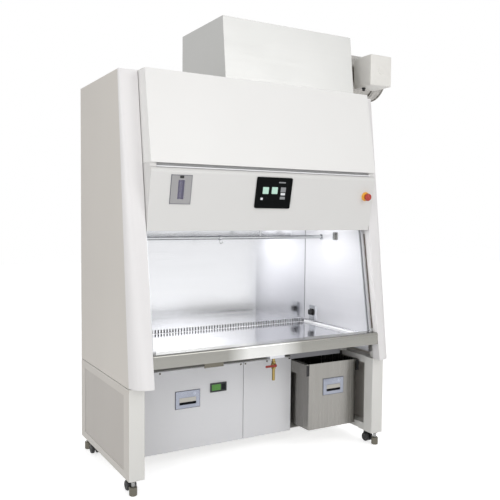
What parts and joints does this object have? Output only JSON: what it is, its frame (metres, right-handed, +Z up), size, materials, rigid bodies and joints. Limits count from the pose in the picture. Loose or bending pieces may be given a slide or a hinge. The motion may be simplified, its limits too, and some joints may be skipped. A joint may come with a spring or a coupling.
{
  "type": "biological safety cabinet",
  "caption": "Biological safety cabinet on a steel stand, with a sliding sash, hinged hood, waste bin, filter door and an exhaust plenum with damper.",
  "frame": {"origin": "middle of the whole bounding box, on the floor", "axes": "+X to the right seen from the front, -Y towards the user, +Z up"},
  "size_m": [1.676, 0.83, 2.275],
  "materials": {
    "frame_paint": "satin powder coat",
    "side_paint": "fine texture powder coat",
    "lower_side_paint": "fine texture powder coat",
    "white_paint": "satin powder coat",
    "stainless": "brushed",
    "polished_steel": "polished",
    "filter_media": "pleated glass paper in a metal frame",
    "lamp": "lamp tube and sockets",
    "outlet": "splash-proof outlet",
    "glass": "laminated safety glass",
    "aluminium": "anodised",
    "belt_rubber": "toothed belt",
    "machined_steel": "machined",
    "galvanised": "galvanised sheet",
    "screen": "touch screen with a black bezel",
    "gauge_grey": "grey gauge plate",
    "float_black": "gauge float",
    "stop_yellow": "gloss",
    "stop_red": "gloss",
    "meter_case": "dark meter case",
    "latch_steel": "satin chrome",
    "valve_brass": "plain brass",
    "valve_lever": "dipped handle",
    "duct_zinc": "galvanised spiral duct",
    "actuator_plastic": "ivory housing",
    "caster_plastic": "black nylon",
    "caster_tread": "black tread"
  },
  "bodies": {
    "cabinet": {"airflow_gauge": "gauge_grey", "bin_arms": "stainless", "ceiling_diffuser": "stainless", "centre_panel": "stainless", "chamber_back_wall": "stainless", "chamber_lamp": "lamp", "chamber_side_walls": "stainless", "control_panel": "white_paint", "damper_actuator": "actuator_plastic", "damper_body": "duct_zinc", "drain_pan": "stainless", "drain_valve_body": "valve_brass", "estop_collar": "stop_yellow", "exhaust_filter": "filter_media", "exhaust_plenum": "stainless", "front_apron": "stainless", "hanging_rod": "polished_steel", "head_top_panel": "side_paint", "levelling_feet": "polished_steel", "lower_filter": "filter_media", "lower_side_panels": "lower_side_paint", "pressure_plenum": "galvanised", "rear_panels": "side_paint", "sash_belts": "belt_rubber", "sash_guides": "aluminium", "service_outlet": "outlet", "stand_frame": "frame_paint", "supply_filter": "filter_media", "touch_panel": "screen", "upper_side_panels": "side_paint", "wings": "white_paint", "work_tray": "stainless"},
    "sash": {"sash_glass": "glass", "sash_rails": "aluminium"},
    "sash_drive": {"sash_drive_shaft": "machined_steel"},
    "sash_idler": {"sash_idler_shaft": "machined_steel"},
    "hood": {"service_hood": "white_paint"},
    "fan": {"impeller": "galvanised"},
    "stop": {"estop_button": "stop_red"},
    "float": {"gauge_float": "float_black"},
    "hook": {"rod_hook": "polished_steel"},
    "door": {"filter_door": "stainless", "door_latch_plate": "latch_steel", "pressure_meter": "meter_case"},
    "door_paddle": {"door_latch_paddle": "latch_steel"},
    "door_key": {"door_key_cylinder": "latch_steel"},
    "bin": {"waste_bin": "stainless", "bin_latch_plate": "latch_steel"},
    "bin_paddle": {"bin_latch_paddle": "latch_steel"},
    "bin_key": {"bin_key_cylinder": "latch_steel"},
    "valve_lever": {"drain_valve_lever": "valve_lever"},
    "damper": {"damper_blade": "machined_steel"},
    "caster_front_left": {"caster_fork_front_left": "caster_plastic"},
    "wheels_front_left": {"caster_wheels_front_left": "caster_tread"},
    "caster_front_right": {"caster_fork_front_right": "caster_plastic"},
    "wheels_front_right": {"caster_wheels_front_right": "caster_tread"},
    "caster_rear_left": {"caster_fork_rear_left": "caster_plastic"},
    "wheels_rear_left": {"caster_wheels_rear_left": "caster_tread"},
    "caster_rear_right": {"caster_fork_rear_right": "caster_plastic"},
    "wheels_rear_right": {"caster_wheels_rear_right": "caster_tread"}
  },
  "joints": [
    {"name": "sash_slide", "type": "slide", "parent": "cabinet", "child": "sash", "axis": [0, -0.1602, -0.9871], "range_m": [0, 0.565]},
    {"name": "sash_drive_turn", "type": "hinge", "parent": "cabinet", "child": "sash_drive", "pos_m": [-0.088, -0.16896, 1.87699], "axis": [-1, 0, 0], "range_deg": [0, 2029.3]},
    {"name": "sash_idler_turn", "type": "hinge", "parent": "cabinet", "child": "sash_idler", "pos_m": [-0.088, -0.27263, 1.23835], "axis": [-1, 0, 0], "range_deg": [0, 2029.3]},
    {"name": "hood_hinge", "type": "hinge", "parent": "cabinet", "child": "hood", "pos_m": [-0.088, -0.257, 1.952], "axis": [-1, 0, 0], "range_deg": [0, 60]},
    {"name": "fan_spin", "type": "hinge", "parent": "cabinet", "child": "fan", "pos_m": [-0.088, 0.167, 1.6], "axis": [0, 1, 0], "continuous": true},
    {"name": "stop_press", "type": "slide", "parent": "cabinet", "child": "stop", "axis": [0, 0.9797, 0.2006], "range_m": [0, 0.004]},
    {"name": "float_rise", "type": "slide", "parent": "cabinet", "child": "float", "axis": [0, -0.2006, 0.9797], "range_m": [0, 0.03]},
    {"name": "hook_slide", "type": "slide", "parent": "cabinet", "child": "hook", "axis": [1, 0, 0], "range_m": [-0.575, 0.22]},
    {"name": "door_hinge", "type": "hinge", "parent": "cabinet", "child": "door", "pos_m": [-0.744, -0.06, 0.499], "axis": [0, 0, -1], "range_deg": [0, 85]},
    {"name": "bin_slide", "type": "slide", "parent": "cabinet", "child": "bin", "axis": [0, -1, 0], "range_m": [-0.15, 0.1]},
    {"name": "valve_turn", "type": "hinge", "parent": "cabinet", "child": "valve_lever", "pos_m": [0.015, -0.22, 0.497], "axis": [0, -1, 0], "range_deg": [0, 90]},
    {"name": "damper_turn", "type": "hinge", "parent": "cabinet", "child": "damper", "pos_m": [0.6555, 0.015, 2.12], "axis": [0, 1, 0], "range_deg": [0, 90]},
    {"name": "door_paddle_pull", "type": "hinge", "parent": "door", "child": "door_paddle", "pos_m": [-0.4235, -0.0717, 0.3454], "axis": [1, 0, 0], "range_deg": [-35, 0], "stiffness_Nm_per_rad": 0.3, "springref_deg": 11.46},
    {"name": "door_key_turn", "type": "hinge", "parent": "door", "child": "door_key", "pos_m": [-0.3835, -0.07, 0.3645], "axis": [0, 1, 0], "range_deg": [0, 90]},
    {"name": "bin_paddle_pull", "type": "hinge", "parent": "bin", "child": "bin_paddle", "pos_m": [0.3985, -0.2257, 0.3514], "axis": [1, 0, 0], "range_deg": [-35, 0], "stiffness_Nm_per_rad": 0.3, "springref_deg": 11.46},
    {"name": "bin_key_turn", "type": "hinge", "parent": "bin", "child": "bin_key", "pos_m": [0.4385, -0.224, 0.3705], "axis": [0, 1, 0], "range_deg": [0, 90]},
    {"name": "swivel_front_left", "type": "hinge", "parent": "cabinet", "child": "caster_front_left", "pos_m": [-0.801, -0.236, 0.074], "axis": [0, 0, 1], "continuous": true},
    {"name": "roll_front_left", "type": "hinge", "parent": "caster_front_left", "child": "wheels_front_left", "pos_m": [-0.801, -0.256, 0.03], "axis": [1, 0, 0], "continuous": true},
    {"name": "swivel_front_right", "type": "hinge", "parent": "cabinet", "child": "caster_front_right", "pos_m": [0.625, -0.236, 0.074], "axis": [0, 0, 1], "continuous": true},
    {"name": "roll_front_right", "type": "hinge", "parent": "caster_front_right", "child": "wheels_front_right", "pos_m": [0.625, -0.256, 0.03], "axis": [1, 0, 0], "continuous": true},
    {"name": "swivel_rear_left", "type": "hinge", "parent": "cabinet", "child": "caster_rear_left", "pos_m": [-0.801, 0.315, 0.074], "axis": [0, 0, 1], "continuous": true},
    {"name": "roll_rear_left", "type": "hinge", "parent": "caster_rear_left", "child": "wheels_rear_left", "pos_m": [-0.801, 0.295, 0.03], "axis": [1, 0, 0], "continuous": true},
    {"name": "swivel_rear_right", "type": "hinge", "parent": "cabinet", "child": "caster_rear_right", "pos_m": [0.625, 0.315, 0.074], "axis": [0, 0, 1], "continuous": true},
    {"name": "roll_rear_right", "type": "hinge", "parent": "caster_rear_right", "child": "wheels_rear_right", "pos_m": [0.625, 0.295, 0.03], "axis": [1, 0, 0], "continuous": true}
  ],
  "couplings": [
    {"joint": "sash_drive_turn", "follows": "sash_slide", "rad_per_m": 62.5},
    {"joint": "sash_idler_turn", "follows": "sash_slide", "rad_per_m": 62.5}
  ]
}
